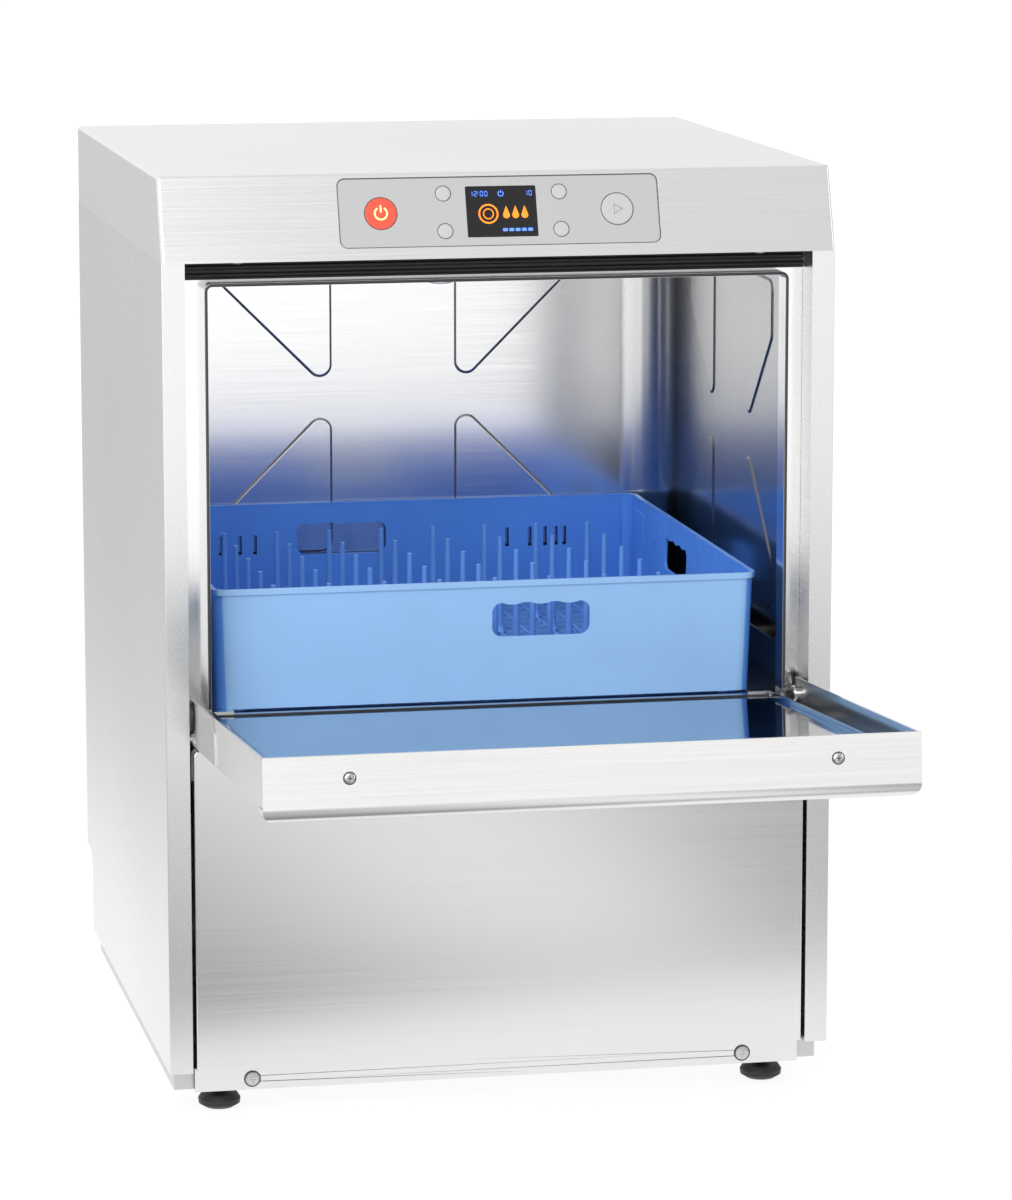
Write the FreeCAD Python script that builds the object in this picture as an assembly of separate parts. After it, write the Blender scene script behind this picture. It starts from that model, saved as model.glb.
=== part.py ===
import FreeCAD, Part
import math
import os
from FreeCAD import Vector as V

# Undercounter commercial dishwasher, millimetres, +Z up, front towards -Y.
# The working frame has Y = 0 on the front flanges of the casing; save() moves
# everything so that the origin is the middle of the footprint, door open.

# ---- casing ----
WIDTH, DEPTH, HEIGHT = 600.0, 602.0, 835.5
SHEET = 1.2
HALF = WIDTH / 2
HOOD_Z = 762.0                  # lower edge of the hood's skirts
HOOD_FRONT_Y = -1.6             # foot of the sloping fascia face
HOOD_SLOPE_RUN = 26.3           # how far the slope runs back up to the top
PANEL_Z = 42.5                  # lower edge of the side panels
FLANGE = 20.6                   # width of the side panels' front flanges
RETURN_DEPTH = 33.0             # depth of the returns behind those flanges
NOTCH_Y, NOTCH_Z = 563.0, 122.0     # plumbing notch along the rear foot
NOTCH_CHAMFER = 12.0
ORIGIN_Y = 108.2                # middle of the footprint in the working frame

# ---- wash chamber ----
TANK_X, TANK_Y0, TANK_Y1 = 274.0, 36.0, 541.0       # inside faces
TANK_Z0, TANK_Z1 = 270.0, 750.0
TANK_WALL = 1.0
TANK_REAR_R, TANK_FRONT_R = 46.0, 8.0
MOUTH_X, MOUTH_Z0, MOUTH_Z1 = 258.0, 336.0, 740.0   # clear doorway
LIP, LIP_Y, LIP_FOOT_Z = 3.0, 11.0, 366.0           # hemmed lip round the doorway
FRAME_Y0, FRAME_Y1, FRAME_X = 33.5, 35.0, 284.0
THRESHOLD_Z, THRESHOLD_Y = 358.2, 58.0              # shelf between the open door and the rack
SUMP = (-160.0, -60.0, 150.0, 250.0)
SUMP_Z = 232.0
ARM_Y = 292.0                   # the spray arms' vertical axis
ARM_REACH = 225.0
RINSE_REACH = 215.0
SPINDLE_R = 10.0
RUN_FIT = 0.05                  # radial clearance of every turning or sliding fit

# ---- door ----
HINGE_Y, HINGE_Z = 11.3, 361.7
OPEN_TILT = 4.0                 # the open door's front edge stands this much above level
DOOR_L, DOOR_HALF = 395.3, 274.0
RIM, SKIN = 14.7, -26.5         # upstand and outer skin, from the hinge axis
PAN_Z, PAN_HALF, PAN_BACK = -3.0, 253.2, 21.7
PAN_RIM, PAN_RIM_END = 1.2, 375.0    # the rims stop short of the doorway's top lip
CHANNEL_Z = -9.0
HANDLE_R = 12.0
HANDLE_Z = -27.3
PIN_R = 5.0
ARM_X0, ARM_X1 = 274.0, 275.3
BUSH_R, BUSH_X0, BUSH_X1 = 15.0, 275.8, 279.1
CRANK_X0, CRANK_X1, CRANK_L, CRANK_ANGLE = 287.0, 290.0, 38.0, 54.0

# ---- control strip, in the sloping face's own frame ----
FASCIA_HALF, FASCIA_U0, FASCIA_U1, FASCIA_R = 143.0, 10.5, 73.4, 7.0
FASCIA_TOP, FASCIA_BACK = -0.8, -3.6
BIG_BUTTONS = {"power_button": (-105.3, 41.5), "start_button": (105.3, 41.9)}
SMALL_X, SMALL_U = (-49.2, 54.2), (24.7, 58.4)
BIG_R, SMALL_R = 14.0, 6.5
DISPLAY = (-29.3, 33.2, 18.8, 64.3)
BOARD_Z = -16.0

# ---- rack ----
RACK_X, RACK_HALF, RACK_TAPER = -4.5, 247.5, 3.5
RACK_Y0, RACK_Z0, RACK_Z1 = 43.5, 360.0, 468.0
RACK_WALL, RACK_R, RIM_OVERHANG = 2.6, 13.0, 1.6
RACK_Y = RACK_Y0 + RACK_HALF
SLOT_W, SLOT_Z0, SLOT_Z1, SLOT_OFFSET = 89.0, 417.0, 448.0, 49.0
SCALLOP_R, SCALLOP_SAG = 26.0, 1.9      # the three finger scallops along a slot's upper edge
SLIT_X = (-175.0, -166.5, -155.5, -140.0, -117.0, 135.0, 150.0, 169.0)
SLIT_W, SLIT_Z0, SLIT_Z1 = 4.0, 418.5, 437.5
PEG_COLUMNS, PEG_PITCH_X = 8, 51.0
PEG_ROWS, PEG_PITCH_Y = 5, 76.0
PEG_TIP_Z = 455.0
PEG_FOOT_R, PEG_R0, PEG_R1 = 5.6, 3.4, 2.2
GRID_PITCH, FLOOR_T = 25.5, 4.0

# ---- feet and fasteners ----
FEET = {"front_left": (-250.0, 45.0), "front_right": (250.0, 45.0),
        "rear_left": (-250.0, 520.0), "rear_right": (250.0, 520.0)}
STEM_R = 5.0
BASE_Z = 23.0
SILL_Y = 14.0
SILL_SCREW_X, SILL_SCREW_Z = 224.5, 31.5
HOOD_SCREW_X = 232.0
DOOR_SCREW_X, DOOR_SCREW_Z = 203.0, -4.3

# ---- services at the rear foot ----
INLET_X, INLET_Z, INLET_R = -180.0, 85.0, 13.2
DRAIN_X, DRAIN_Z, DRAIN_R = 190.0, 70.0, 14.0
GLAND_X, GLAND_Z, GLAND_BORE = 60.0, 85.0, 6.0

XAX, YAX, ZAX = V(1, 0, 0), V(0, 1, 0), V(0, 0, 1)


def box(x0, x1, y0, y1, z0, z1):
    return Part.makeBox(x1 - x0, y1 - y0, z1 - z0, V(x0, y0, z0))


def rod(r, start, axis, length):
    return Part.makeCylinder(r, length, start, axis)


def ring(r_out, r_in, start, axis, length):
    return rod(r_out, start, axis, length).cut(rod(r_in, start, axis, length))


def prism_x(points, x0, x1):
    loop = [V(x0, y, z) for y, z in points]
    return Part.Face(Part.makePolygon(loop + loop[:1])).extrude(V(x1 - x0, 0, 0))


def turned(points, centre, axis=ZAX):
    """Solid of revolution from (radius, height) points, about an axis."""
    loop = [V(r, 0, h) for r, h in points]
    solid = Part.Face(Part.makePolygon(loop + loop[:1])).revolve(V(), ZAX, 360)
    solid.Placement = FreeCAD.Placement(centre, FreeCAD.Rotation(ZAX, axis))
    return solid


def round_corners(shape, radius, axis, keep=lambda centre: True):
    """Fillet the straight edges that run along an axis."""
    edges = []
    for edge in shape.Edges:
        a, b = edge.Vertexes[0].Point, edge.Vertexes[-1].Point
        along = (b - a).normalize() if (b - a).Length > 1e-6 else V()
        if abs(along.dot(axis)) > 0.999 and keep(edge.CenterOfMass):
            edges.append(edge)
    return shape.makeFillet(radius, edges)


def rounded_plate(x0, x1, y0, y1, z0, z1, radius):
    return round_corners(box(x0, x1, y0, y1, z0, z1), radius, ZAX)


def pipe(points, radius):
    """Straight runs of tube with ball corners, solid as filled service pipe."""
    runs = []
    for a, b in zip(points, points[1:]):
        runs.append(rod(radius, V(*a), V(*b) - V(*a), (V(*b) - V(*a)).Length))
    balls = [Part.makeSphere(radius, V(*p)) for p in points[1:-1]]
    return runs[0].multiFuse(runs[1:] + balls) if len(points) > 2 else runs[0]


def fuse(*shapes):
    return shapes[0].multiFuse(list(shapes[1:])).removeSplitter()


def both_sides(make):
    """The same piece on the right and, mirrored, on the left."""
    right = make()
    return Part.makeCompound([right, right.mirror(V(), XAX)])


def door_placement():
    return FreeCAD.Placement(V(0, HINGE_Y, HINGE_Z), FreeCAD.Rotation(XAX, -OPEN_TILT))


def slope_placement():
    angle = math.degrees(math.atan2(HEIGHT - HOOD_Z, HOOD_SLOPE_RUN))
    return FreeCAD.Placement(V(0, HOOD_FRONT_Y, HOOD_Z), FreeCAD.Rotation(XAX, angle))


def save(name, shape, placement=None):
    shape = placed(shape.copy(), placement or FreeCAD.Placement())
    shape.translate(V(0, -ORIGIN_Y, 0))
    shape.exportStep("parts/%s.step" % name)


def placed(shape, placement):
    shape.Placement = placement.multiply(shape.Placement)
    return shape


# ------------------------------------------------------------------ casing

def hood_block(inset, foot):
    """The hood's outside, or its inside when inset by the sheet."""
    slope = math.hypot(HOOD_SLOPE_RUN, HEIGHT - HOOD_Z)
    step = inset * slope / (HEIGHT - HOOD_Z)
    lean = HOOD_SLOPE_RUN / (HEIGHT - HOOD_Z)
    top = HEIGHT - inset
    profile = [(HOOD_FRONT_Y + step + lean * (foot - HOOD_Z), foot),
               (HOOD_FRONT_Y + step + lean * (top - HOOD_Z), top),
               (DEPTH - inset, top), (DEPTH - inset, foot)]
    block = prism_x(profile, -HALF + inset, HALF - inset)
    radius = 3.2 - inset
    return block.makeFillet(radius, [e for e in block.Edges if e.BoundBox.ZMax > foot + 1])


def hood_cover():
    shell = hood_block(0.0, HOOD_Z).cut(hood_block(SHEET, HOOD_Z - 5))
    lip = box(-HALF + 1, HALF - 1, HOOD_FRONT_Y + 0.6, 14.0, HOOD_Z, HOOD_Z + SHEET)
    window = rounded_plate(-FASCIA_HALF, FASCIA_HALF, FASCIA_U0, FASCIA_U1, -3.0, 3.0, FASCIA_R)
    return fuse(shell, lip).cut(placed(window, slope_placement()))


def side_panel():
    """The right-hand panel: wall, front flange with its return, rear and foot hems."""
    inner, hem = HALF - FLANGE, HALF - 14.0
    foot = [(0, PANEL_Z), (NOTCH_Y, PANEL_Z), (NOTCH_Y, NOTCH_Z - NOTCH_CHAMFER),
            (NOTCH_Y + NOTCH_CHAMFER, NOTCH_Z), (DEPTH, NOTCH_Z), (DEPTH, HOOD_Z), (0, HOOD_Z)]
    wall = prism_x(foot, HALF - SHEET, HALF)
    flange = box(inner, HALF, 0, SHEET, PANEL_Z, HOOD_Z)
    back = box(inner, inner + SHEET, 0, RETURN_DEPTH, PANEL_Z, HOOD_Z)
    rear = box(hem, HALF, DEPTH - SHEET, DEPTH, NOTCH_Z, HOOD_Z)
    under = box(hem, HALF, 0, NOTCH_Y, PANEL_Z, PANEL_Z + SHEET)
    panel = fuse(wall, flange, back, rear, under)
    panel = round_corners(panel, 1.0, ZAX, lambda c: c.y < 0.1 and c.x > HALF - 0.1)
    return panel.cut(rod(BUSH_R / 2 + 0.5, V(inner - 5, HINGE_Y, HINGE_Z), XAX, 10))


def rear_panel():
    y1, y0 = DEPTH - 1.4, DEPTH - 1.4 - SHEET
    zn, c = NOTCH_Z + SHEET, NOTCH_CHAMFER
    yl = NOTCH_Y - 0.8
    outer = [(y1, HOOD_Z - 2), (y1, zn), (yl + c, zn), (yl, zn - c), (yl, PANEL_Z + SHEET + 0.2)]
    inner = [(yl - SHEET, PANEL_Z + SHEET + 0.2), (yl - SHEET, zn - c + 0.5),
             (yl + c - 0.5, zn + SHEET), (y0, zn + SHEET), (y0, HOOD_Z - 2)]
    panel = prism_x(outer + inner, -HALF + 1.6, HALF - 1.6)
    for x, z, r in ((INLET_X, INLET_Z, INLET_R), (DRAIN_X, DRAIN_Z, DRAIN_R), (GLAND_X, GLAND_Z, 10.0)):
        panel = panel.cut(rod(r + 0.4, V(x, NOTCH_Y - 20, z), YAX, 60))
    return panel


def lower_front_panel():
    outer = box(-276, 276, 0, 16, 44, 333)
    outer = round_corners(outer, 5.0, YAX, lambda c: c.z > 300)
    inner = box(-276 + SHEET, 276 - SHEET, SHEET, 17, 44 + SHEET, 333 - SHEET)
    inner = round_corners(inner, 3.8, YAX, lambda c: c.z > 300)
    front = [e for e in outer.Edges if e.BoundBox.YMax < 0.01]
    return outer.makeFillet(1.1, front).cut(inner)


def base_sill():
    face = box(-276, 276, SILL_Y, SILL_Y + SHEET, 21.5, 43.4)
    under = box(-276, 276, SILL_Y, SILL_Y + 6, 21.5, 21.5 + SHEET)
    sill = fuse(face, under)
    for side in (-1, 1):
        sill = sill.cut(rod(2.6, V(side * SILL_SCREW_X, SILL_Y - 2, SILL_SCREW_Z), YAX, 10))
    return sill


def base_frame():
    y0, y1, x = 20.4, 556.0, 294.0
    tray = box(-x, x, y0, y1, BASE_Z, 41.8).cut(box(-x + 1.5, x - 1.5, y0 + 1.5, y1 - 1.5, BASE_Z + 1.5, 50))
    pieces = [tray]
    for fx, fy in FEET.values():
        pieces.append(rod(10.0, V(fx, fy, BASE_Z), ZAX, 18))
    for px in (-272, 252):
        for py in (62, 480):
            pieces.append(box(px, px + 20, py, py + 18, BASE_Z, TANK_Z0 - TANK_WALL - 0.1))
    for side in (-1, 1):
        x_s = side * SILL_SCREW_X
        pieces.append(box(x_s - 9, x_s + 9, SILL_Y + SHEET, y0 + 1, 25.0, 39.0))
    frame = fuse(*pieces)
    for fx, fy in FEET.values():
        frame = frame.cut(rod(STEM_R + RUN_FIT, V(fx, fy, BASE_Z - 1), ZAX, 30))
    for side in (-1, 1):
        frame = frame.cut(rod(2.6, V(side * SILL_SCREW_X, SILL_Y, SILL_SCREW_Z), YAX, 12))
    return frame


def levelling_foot(x, y):
    pad = turned([(0, 0), (13, 0), (18.5, 3.5), (19, 8), (16, 12.5), (8, 15), (7, 21.5), (0, 21.5)], V(x, y, 0))
    return fuse(pad, rod(STEM_R, V(x, y, 20), ZAX, 26))


def casing_screws():
    """Pan heads on the sill and round heads under the hood's front lip."""
    heads = []
    for side in (-1, 1):
        at = V(side * SILL_SCREW_X, SILL_Y, SILL_SCREW_Z)
        dome = turned([(0, -9), (2.5, -9), (2.5, 0), (6.3, 0), (6.1, 1.4), (4.6, 3.0), (0, 3.6)], at, -YAX)
        slot = box(at.x - 3, at.x + 3, at.y - 5, at.y - 2.2, at.z - 0.5, at.z + 0.5)
        cross = box(at.x - 0.5, at.x + 0.5, at.y - 5, at.y - 2.2, at.z - 3, at.z + 3)
        heads.append(dome.cut(slot).cut(cross))
        under = V(side * HOOD_SCREW_X, 6.0, HOOD_Z)
        heads.append(turned([(0, 0), (5.5, 0), (5.0, 1.2), (3.0, 2.4), (0, 2.8)], under, -ZAX))
    return Part.makeCompound(heads)


# ------------------------------------------------------------------ wash chamber

def tank_block(grow):
    x, y0, y1 = TANK_X + grow, TANK_Y0 - grow, TANK_Y1 + grow
    block = box(-x, x, y0, y1, TANK_Z0 - grow, TANK_Z1 + grow)
    block = round_corners(block, TANK_REAR_R + grow, ZAX, lambda c: c.y > 300)
    return round_corners(block, TANK_FRONT_R + grow, ZAX, lambda c: c.y < 100)


def wash_tank():
    x0, x1, y0, y1 = SUMP
    w = TANK_WALL
    outer = fuse(tank_block(w), box(x0 - w, x1 + w, y0 - w, y1 + w, SUMP_Z - w, TANK_Z0))
    tank = outer.cut(tank_block(0.0)).cut(box(x0, x1, y0, y1, SUMP_Z, TANK_Z0 + 5))
    tank = tank.cut(box(-MOUTH_X - 1, MOUTH_X + 1, TANK_Y0 - 5, TANK_Y0 + 5, MOUTH_Z0 - 1, MOUTH_Z1 + 1))
    pipe_hole = 16.3
    tank = tank.cut(rod(pipe_hole, V(0, ARM_Y, TANK_Z0 - 5), ZAX, 10))
    tank = tank.cut(rod(pipe_hole, V(0, ARM_Y, TANK_Z1 - 5), ZAX, 10))
    tank = tank.cut(rod(17.0, V(-110, 200, SUMP_Z - 5), ZAX, 10))
    tank = tank.cut(rod(14.3, V(DRAIN_X, 470, TANK_Z0 - 5), ZAX, 10))
    for x in (90, 130):
        tank = tank.cut(rod(4.3, V(x, TANK_Y0 - 5, 283), YAX, 10))
    return tank


def front_frame():
    plate = box(-FRAME_X, FRAME_X, FRAME_Y0, FRAME_Y1, 300, 761)
    plate = plate.cut(box(-MOUTH_X, MOUTH_X, FRAME_Y0 - 1, FRAME_Y1 + 1, THRESHOLD_Z, MOUTH_Z1))
    shelf = box(-MOUTH_X, MOUTH_X, FRAME_Y0, THRESHOLD_Y, THRESHOLD_Z - SHEET, THRESHOLD_Z)
    outer = box(-MOUTH_X - LIP, MOUTH_X + LIP, LIP_Y, FRAME_Y0 + 0.5, LIP_FOOT_Z, MOUTH_Z1 + LIP)
    inner = box(-MOUTH_X, MOUTH_X, LIP_Y - 1, FRAME_Y0 + 1, LIP_FOOT_Z - 1, MOUTH_Z1)
    outer = round_corners(outer, 7.0, YAX, lambda c: c.z > 700)
    inner = round_corners(inner, 4.0, YAX, lambda c: c.z > 700)
    return fuse(plate, shelf, outer.cut(inner))


def top_seal():
    strip = box(-278.5, 278.5, 29.5, FRAME_Y0, 744.5, 759)
    ridges = [rod(2.2, V(-278.5, 29.5, z), XAX, 557) for z in (748.2, 755.2)]
    return fuse(strip, *ridges)


def rack_rails():
    def make():
        ledge = box(234, 262, 40, 500, 358.4, 359.9)
        guide = box(260.6, 262, 40, 500, 358.4, 404)
        flare = prism_x([(40, 404), (40, 412), (58, 404)], 260.6, 262)
        pegs = [rod(4.0, V(262, y, 380), XAX, 11.9) for y in (80, 230, 380)]
        return fuse(ledge, guide, flare, *pegs)
    return both_sides(make)


def spray_arm(reach, width, z0, z1, hub_r, hub_z0, hub_z1, nozzles, up):
    """Flat two-way arm on a round hub, with a row of spray holes on one face."""
    bar = rounded_plate(-reach, reach, ARM_Y - width / 2, ARM_Y + width / 2, z0, z1, width / 2 - 0.1)
    hub = rod(hub_r, V(0, ARM_Y, hub_z0), ZAX, hub_z1 - hub_z0)
    arm = fuse(bar, hub).cut(rod(SPINDLE_R + RUN_FIT, V(0, ARM_Y, hub_z0 - 1), ZAX, hub_z1 - hub_z0 + 2))
    depth = 2.0
    for i in range(nozzles):
        x = hub_r + 14 + i * (reach - hub_r - 30) / (nozzles - 1)
        for side in (-1, 1):
            z = z1 - depth if up else z0 - 1
            arm = arm.cut(rod(1.6, V(side * x, ARM_Y, z), ZAX, depth + 1))
    return arm


def arm_spindles():
    lower = turned([(0, 300.2), (24, 300.2), (24, 303), (14, 306), (14, 321), (SPINDLE_R, 321),
                    (SPINDLE_R, 354.6), (12.5, 354.6), (12.5, 357), (9, 358), (0, 358)], V(0, ARM_Y, 0))
    upper = turned([(0, 708.6), (9, 708.6), (12.5, 709.6), (12.5, 712), (SPINDLE_R, 712), (SPINDLE_R, 739),
                    (14, 739), (14, 742), (30, 745), (30, 749.9), (0, 749.9)], V(0, ARM_Y, 0))
    return Part.makeCompound([lower, upper])


def surface_strainers():
    def make():
        plate = box(3, 268, 60, 488, 296, 297.5).cut(rod(46, V(0, ARM_Y, 290), ZAX, 15))
        rim = box(3, 268, 60, 62, 290, 297.5)
        holes = [box(30 + i * 24, 44 + i * 24, 90 + j * 40, 120 + j * 40, 295, 299)
                 for i in range(9) for j in range(10) if abs(90 + j * 40 + 15 - ARM_Y) > 60 or i > 1]
        return fuse(plate, rim).cut(Part.makeCompound(holes))
    return both_sides(make)


def suction_filter():
    return ring(38, 36, V(-110, 200, SUMP_Z + 0.2), ZAX, 55)


def tank_heater():
    loop = pipe([(90, FRAME_Y0, 283), (90, 450, 283), (130, 450, 283), (130, FRAME_Y0, 283)], 4.0)
    return fuse(loop, box(75, 145, 33.4, 34.8, 273, 294))


# ------------------------------------------------------------------ machine compartment

def wash_pump_housing():
    y, z = ARM_Y, 130.0
    body = fuse(rod(58, V(-25, y, z), XAX, 50), rod(18, V(-50, y, z), XAX, 26), rod(16, V(0, y, z), ZAX, 70))
    foot = box(-20, 20, y - 45, y + 45, BASE_Z + 1.6, z - 40)
    cavity = fuse(rod(48, V(-20, y, z), XAX, 37), rod(14, V(-51, y, z), XAX, 40),
                  rod(12, V(0, y, z), ZAX, 71), rod(7 + RUN_FIT, V(10, y, z), XAX, 20))
    return fuse(body, foot).cut(cavity)


def wash_pump_motor():
    y, z = ARM_Y, 130.0
    can = rod(54, V(25.1, y, z), XAX, 140)
    ribs = [ring(56.5, 53, V(40 + i * 11, y, z), XAX, 4) for i in range(10)]
    foot = box(50, 140, y - 35, y + 35, BASE_Z + 1.6, z - 30)
    box_on_top = box(60, 120, y - 25, y + 25, z + 48, z + 75)
    return fuse(can, foot, box_on_top, *ribs).cut(rod(7 + RUN_FIT, V(20, y, z), XAX, 138))


def pump_impeller():
    y, z = ARM_Y, 130.0
    disc = rod(42, V(6, y, z), XAX, 4)
    hub = rod(12, V(-14, y, z), XAX, 22)
    shaft = rod(7, V(0, y, z), XAX, 155)
    vanes = []
    for i in range(6):
        vane = box(-12, 7, y + 10, y + 41, z - 1.2, z + 1.2)
        vane.rotate(V(0, y, z), XAX, i * 60)
        vanes.append(vane)
    return fuse(disc, hub, shaft, *vanes)


def suction_hose():
    return pipe([(-110, 200, SUMP_Z - 1.1), (-110, 200, 130), (-110, ARM_Y, 130), (-50.1, ARM_Y, 130)], 17.0)


def delivery_pipe():
    """Pump outlet to the lower spindle, and round the back to the upper one."""
    riser = rod(16, V(0, ARM_Y, 200.1), ZAX, 100)
    loop = pipe([(0, ARM_Y, 225), (0, 572, 225), (0, 572, 776), (0, ARM_Y, 776), (0, ARM_Y, 750)], 13.0)
    return fuse(riser, loop)


def drain_pump():
    body = rod(35, V(DRAIN_X, 470, 48), ZAX, 60)
    foot = box(DRAIN_X - 25, DRAIN_X + 25, 450, 490, BASE_Z + 1.6, 50)
    inlet = rod(14, V(DRAIN_X, 470, 105), ZAX, 163.5)
    outlet = turned([(0, 0), (DRAIN_R, 0), (DRAIN_R, 92), (DRAIN_R - 1.6, 96), (0, 96)],
                    V(DRAIN_X, 500, DRAIN_Z), YAX)
    collar = rod(18, V(DRAIN_X, 562.4, DRAIN_Z), YAX, 4)
    bore = rod(DRAIN_R - 3, V(DRAIN_X, 520, DRAIN_Z), YAX, 90)
    return fuse(body, foot, inlet, outlet, collar).cut(bore)


def rinse_boiler():
    x, y = -180.0, 430.0
    shell = turned([(0, 32), (50, 32), (60, 42), (60, 220), (50, 230), (0, 230)], V(x, y, 0))
    legs = [box(x + dx - 8, x + dx + 8, y - 20, y + 20, BASE_Z + 1.6, 45) for dx in (-35, 35)]
    head = rod(22, V(x, y, 228), ZAX, 14)
    return fuse(shell, head, *legs)


def solenoid_valve():
    body = box(INLET_X - 18, INLET_X + 18, 524, 553, INLET_Z - 16, INLET_Z + 16)
    coil = rod(14, V(INLET_X, 538, INLET_Z + 15), ZAX, 38)
    foot = box(INLET_X - 12, INLET_X + 12, 528, 548, BASE_Z + 1.6, INLET_Z - 15)
    return fuse(body, coil, foot)


def water_inlet():
    pipe_end = rod(INLET_R, V(INLET_X, 553.1, INLET_Z), YAX, 42)
    nut = rod(19, V(INLET_X, 562.4, INLET_Z), YAX, 5)
    return fuse(pipe_end, nut).cut(rod(9, V(INLET_X, 556, INLET_Z), YAX, 45))


def cable_gland():
    body = rod(10, V(GLAND_X, 550, GLAND_Z), YAX, 36)
    flange = rod(15, V(GLAND_X, 562.4, GLAND_Z), YAX, 5)
    lock = rod(15, V(GLAND_X, 555.5, GLAND_Z), YAX, 5)
    cap = turned([(9, 0), (14, 0), (14, 10), (11, 18.5), (9, 18.5)], V(GLAND_X, 567.4, GLAND_Z), YAX)
    return fuse(body, flange, lock, cap).cut(rod(GLAND_BORE, V(GLAND_X, 549, GLAND_Z), YAX, 40))


def air_gap():
    body = round_corners(box(-230, -150, 545, 590, 560, 700), 6.0, YAX)
    spout = rod(8, V(-190, 567, 540), ZAX, 25)
    return fuse(body, spout)


def dosing_pumps():
    units = []
    for x in (-235, -170):
        case = round_corners(box(x, x + 50, 84, 130, 60, 120), 4.0, YAX)
        head = rod(21, V(x + 25, 68, 92), YAX, 17)
        foot = box(x + 5, x + 45, 90, 125, BASE_Z + 1.6, 61)
        units.append(fuse(case, head, foot))
    return Part.makeCompound(units)


def electrical_box():
    case = round_corners(box(60, 250, 380, 565, 757, 800), 4.0, ZAX)
    feet = [box(x, x + 15, y, y + 15, TANK_Z1 + 1.1, 758) for x in (70, 225) for y in (390, 460)]
    return fuse(case, *feet)


def door_switch():
    return fuse(box(-240, -212, 35.1, 50, 752, 770), box(-236, -216, 40, 48, 769, 778))


# ------------------------------------------------------------------ control strip

def control_fascia():
    gap = 0.5
    plate = rounded_plate(-FASCIA_HALF + gap, FASCIA_HALF - gap, FASCIA_U0 + gap, FASCIA_U1 - gap,
                          FASCIA_BACK, FASCIA_TOP, FASCIA_R - gap)
    flange = rounded_plate(-FASCIA_HALF - 5, FASCIA_HALF + 5, FASCIA_U0 - 4, FASCIA_U1 - 2,
                           FASCIA_BACK, -SHEET - 0.3, FASCIA_R)
    posts = [rod(3, V(x, u, BOARD_Z + 1.7), ZAX, -BOARD_Z - 5) for x in (-84, 84) for u in (19, 64)]
    fascia = fuse(plate, flange, *posts)
    for x, u in BIG_BUTTONS.values():
        fascia = fascia.cut(rod(BIG_R + 0.3, V(x, u, -20), ZAX, 30))
    for x in SMALL_X:
        for u in SMALL_U:
            fascia = fascia.cut(rod(SMALL_R + 0.3, V(x, u, -20), ZAX, 30))
    x0, x1, u0, u1 = DISPLAY
    return fascia.cut(rounded_plate(x0 - 0.2, x1 + 0.2, u0 - 0.2, u1 + 0.2, -20, 5, 1.4))


def display_screen():
    x0, x1, u0, u1 = DISPLAY
    glass = rounded_plate(x0, x1, u0, u1, -3.4, -1.0, 1.2)
    return fuse(glass, box(x0 - 2, x1 + 2, u0 - 2, u1 + 2, -6.4, FASCIA_BACK - 0.1).fuse(
        box(x0 + 3, x1 - 3, u0 + 3, u1 - 3, -4, -3)))


def push_button(x, u, radius):
    """Crowned cap with a catch flange behind the fascia and a stem to the board."""
    cap = [(0, -13), (2.2, -13), (2.2, -5.4), (radius + 1.4, -5.4), (radius + 1.4, -4.2), (radius, -4.2),
           (radius, -0.9), (radius - 0.7, -0.45), (0, -0.3)]
    return turned(cap, V(x, u, 0))


def control_board():
    board = box(-130, 130, 14, 68, BOARD_Z, BOARD_Z + 1.6)
    parts = [box(-70, -40, 30, 50, BOARD_Z - 6, BOARD_Z), box(20, 60, 26, 56, BOARD_Z - 8, BOARD_Z)]
    return fuse(board, *parts)


# ------------------------------------------------------------------ door, in the hinge's own frame

def arc(radius, a0, a1, centre=(0.0, 0.0), x=0.0):
    """Arc edge in the plane across the hinge, between two angles in degrees."""
    def at(a):
        return V(x, centre[0] + radius * math.cos(math.radians(a)), centre[1] + radius * math.sin(math.radians(a)))
    return Part.Arc(at(a0), at((a0 + a1) / 2), at(a1)).toShape()


def chained(edges, length):
    return Part.Face(Part.Wire(Part.__sortEdges__(edges))).extrude(V(length, 0, 0))


def line(x, p, q):
    return Part.LineSegment(V(x, *p), V(x, *q)).toShape()


def door_outer_skin():
    """Curved foot round the hinge axis, flat skin and a skirt on each side."""
    x, t, end = -DOOR_HALF, SHEET, -DOOR_L + SHEET + 0.1
    start = math.degrees(math.atan2(-15.2, PAN_BACK))
    r = -SKIN
    outer_end = arc(r, start, -90, x=x)
    inner_end = arc(r - t, start, -90, x=x)
    a = (r * math.cos(math.radians(start)), r * math.sin(math.radians(start)))
    b = ((r - t) * math.cos(math.radians(start)), (r - t) * math.sin(math.radians(start)))
    skin = chained([outer_end, line(x, (0, -r), (end, -r)), line(x, (end, -r), (end, t - r)),
                    line(x, (end, t - r), (0, t - r)), inner_end, line(x, b, a)], 2 * DOOR_HALF)
    sides = []
    for x0 in (-DOOR_HALF, DOOR_HALF - t):
        sides.append(prism_x([(8.7, RIM), (end, RIM), (end, SKIN), (-28, SKIN)], x0, x0 + t))
    hem = [box(s * (DOOR_HALF - 1.9) - 0.7, s * (DOOR_HALF - 1.9) + 0.7, -390.8, -150, 8.7, RIM) for s in (-1, 1)]
    door = fuse(skin, *(sides + hem))
    return door.cut(rod(PIN_R + 0.5, V(-300, 0, 0), XAX, 600))


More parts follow.
